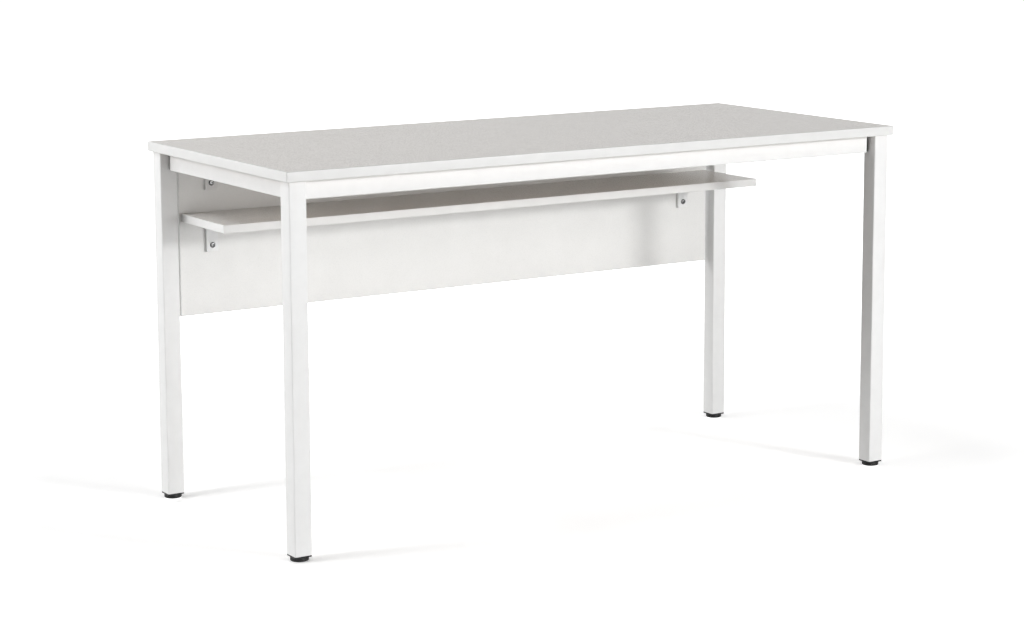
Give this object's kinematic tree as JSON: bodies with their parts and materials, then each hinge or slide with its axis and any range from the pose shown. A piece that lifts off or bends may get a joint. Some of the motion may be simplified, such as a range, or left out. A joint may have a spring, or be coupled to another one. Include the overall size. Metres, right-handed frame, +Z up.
{
  "type": "computer desk with under-top shelf",
  "caption": "Rectangular desk on a square-tube frame with levelling feet, a privacy panel at the back and a fixed shelf under the top.",
  "frame": {"origin": "middle of the desk's footprint, on the floor under the feet", "axes": "+X along the desk's length to the right as the person sees it, +Y away from the person towards the privacy panel, +Z up"},
  "size_m": [1.4, 0.6, 0.717],
  "materials": {
    "worktop_surface": "light warm grey melamine, satin",
    "white_board": "off-white melamine, satin",
    "edge_band": "off-white edge band, satin",
    "frame_paint": "white powder coat, satin",
    "connector_plastic": "black glass-filled nylon",
    "foot_plastic": "black moulded plastic",
    "screw_steel": "bright zinc plating"
  },
  "bodies": {
    "desk": {"worktop_board": "worktop_surface", "shelf_board": "white_board", "privacy_panel": "white_board", "worktop_band_front": "edge_band", "worktop_band_back": "edge_band", "worktop_band_left": "edge_band", "worktop_band_right": "edge_band", "shelf_band_front": "edge_band", "shelf_band_back": "edge_band", "shelf_band_left": "edge_band", "shelf_band_right": "edge_band", "panel_band_bottom": "edge_band", "panel_band_top": "edge_band", "panel_band_left": "edge_band", "panel_band_right": "edge_band", "leg_front_left": "frame_paint", "leg_front_right": "frame_paint", "leg_back_left": "frame_paint", "leg_back_right": "frame_paint", "rail_front": "frame_paint", "rail_back": "frame_paint", "rail_left": "frame_paint", "rail_right": "frame_paint", "corner_connector_front_left": "connector_plastic", "corner_connector_front_right": "connector_plastic", "corner_connector_back_left": "connector_plastic", "corner_connector_back_right": "connector_plastic", "corner_bolt_front_left": "screw_steel", "corner_bolt_front_right": "screw_steel", "corner_bolt_back_left": "screw_steel", "corner_bolt_back_right": "screw_steel", "leg_insert_front_left": "foot_plastic", "leg_insert_front_right": "foot_plastic", "leg_insert_back_left": "foot_plastic", "leg_insert_back_right": "foot_plastic", "panel_hanger_left": "frame_paint", "panel_hanger_right": "frame_paint", "shelf_bracket_left": "frame_paint", "shelf_bracket_right": "frame_paint", "hanger_panel_screw_left": "screw_steel", "hanger_panel_screw_right": "screw_steel", "hanger_rail_screw_left": "screw_steel", "hanger_rail_screw_right": "screw_steel", "bracket_panel_screw_left": "screw_steel", "bracket_panel_screw_right": "screw_steel", "bracket_shelf_screw_left": "screw_steel", "bracket_shelf_screw_right": "screw_steel", "worktop_screw_front_left": "screw_steel", "worktop_screw_front_right": "screw_steel", "worktop_screw_back_left": "screw_steel", "worktop_screw_back_right": "screw_steel"},
    "stem_front_left": {"foot_stem_front_left": "screw_steel"},
    "disc_front_left": {"foot_disc_front_left": "foot_plastic"},
    "stem_front_right": {"foot_stem_front_right": "screw_steel"},
    "disc_front_right": {"foot_disc_front_right": "foot_plastic"},
    "stem_back_left": {"foot_stem_back_left": "screw_steel"},
    "disc_back_left": {"foot_disc_back_left": "foot_plastic"},
    "stem_back_right": {"foot_stem_back_right": "screw_steel"},
    "disc_back_right": {"foot_disc_back_right": "foot_plastic"}
  },
  "joints": [
    {"name": "foot_height_front_left", "type": "slide", "parent": "desk", "child": "stem_front_left", "axis": [0, 0, -1], "range_m": [0, 0.01]},
    {"name": "foot_turn_front_left", "type": "hinge", "parent": "stem_front_left", "child": "disc_front_left", "pos_m": [-0.675, -0.275, 0], "axis": [0, 0, -1], "range_deg": [0, 2880]},
    {"name": "foot_height_front_right", "type": "slide", "parent": "desk", "child": "stem_front_right", "axis": [0, 0, -1], "range_m": [0, 0.01]},
    {"name": "foot_turn_front_right", "type": "hinge", "parent": "stem_front_right", "child": "disc_front_right", "pos_m": [0.675, -0.275, 0], "axis": [0, 0, -1], "range_deg": [0, 2880]},
    {"name": "foot_height_back_left", "type": "slide", "parent": "desk", "child": "stem_back_left", "axis": [0, 0, -1], "range_m": [0, 0.01]},
    {"name": "foot_turn_back_left", "type": "hinge", "parent": "stem_back_left", "child": "disc_back_left", "pos_m": [-0.675, 0.275, 0], "axis": [0, 0, -1], "range_deg": [0, 2880]},
    {"name": "foot_height_back_right", "type": "slide", "parent": "desk", "child": "stem_back_right", "axis": [0, 0, -1], "range_m": [0, 0.01]},
    {"name": "foot_turn_back_right", "type": "hinge", "parent": "stem_back_right", "child": "disc_back_right", "pos_m": [0.675, 0.275, 0], "axis": [0, 0, -1], "range_deg": [0, 2880]}
  ],
  "couplings": [
    {"joint": "foot_turn_front_left", "follows": "foot_height_front_left", "rad_per_m": 5026.5},
    {"joint": "foot_turn_front_right", "follows": "foot_height_front_right", "rad_per_m": 5026.5},
    {"joint": "foot_turn_back_left", "follows": "foot_height_back_left", "rad_per_m": 5026.5},
    {"joint": "foot_turn_back_right", "follows": "foot_height_back_right", "rad_per_m": 5026.5}
  ]
}
